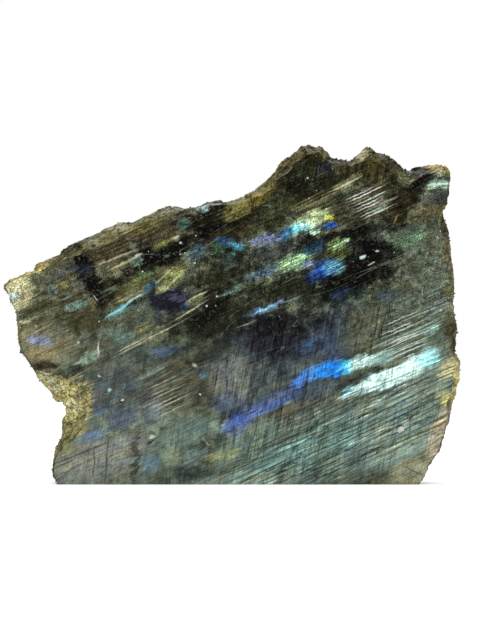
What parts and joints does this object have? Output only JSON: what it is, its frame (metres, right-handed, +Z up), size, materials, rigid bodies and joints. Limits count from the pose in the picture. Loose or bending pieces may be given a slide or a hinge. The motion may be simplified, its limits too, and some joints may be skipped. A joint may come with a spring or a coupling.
{
  "type": "polished labradorite slab",
  "caption": "Natural slab of labradorite with one face polished flat, broken edges and back, and a sawn base that it stands on.",
  "frame": {"origin": "middle of the stone's box, at the level of the sawn base it stands on", "axes": "+Z up, +X to the right along the polished face, +Y away from the polished face, which looks along -Y"},
  "size_m": [0.2098, 0.03, 0.1562],
  "materials": {
    "labradorite": "polished front, rough broken edges and back"
  },
  "bodies": {
    "root": {"labradorite_slab": "labradorite"}
  },
  "joints": []
}
